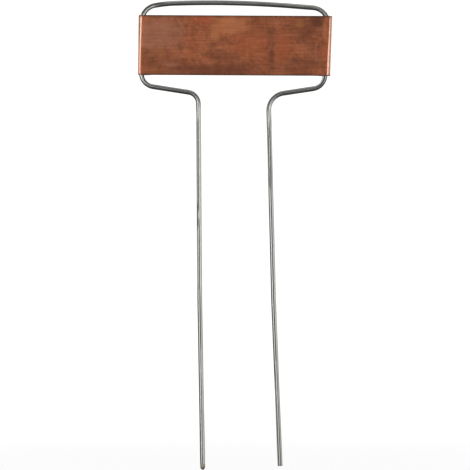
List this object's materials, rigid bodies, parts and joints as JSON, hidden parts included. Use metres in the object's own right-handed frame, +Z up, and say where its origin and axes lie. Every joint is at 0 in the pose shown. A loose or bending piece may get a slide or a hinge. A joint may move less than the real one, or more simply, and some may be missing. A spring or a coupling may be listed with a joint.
{
  "type": "plant label stake",
  "caption": "Bent wire stake with two long legs and a hoop that carries a folded copper name plate, pushed into soil to mark a plant.",
  "frame": {"origin": "under the middle of the name plate, level with the tip of the longer leg, in the plane of the wire", "axes": "+Z up the legs to the hoop, +X across the plate to the right as seen from the front, the plate's face towards -Y"},
  "size_m": [0.0895, 0.003, 0.2162],
  "materials": {
    "zinc_wire": "dull galvanised steel wire, rusty at the cut tip of the longer leg",
    "copper_sheet": "bare rolled copper sheet, lightly tarnished, bright along the folds"
  },
  "bodies": {
    "stake": {"wire_stake": "zinc_wire"},
    "plate": {"name_plate": "copper_sheet"}
  },
  "joints": [
    {"name": "plate_slide", "type": "slide", "parent": "stake", "child": "plate", "axis": [0, 0, 1], "range_m": [-0.003, 0.001]}
  ]
}
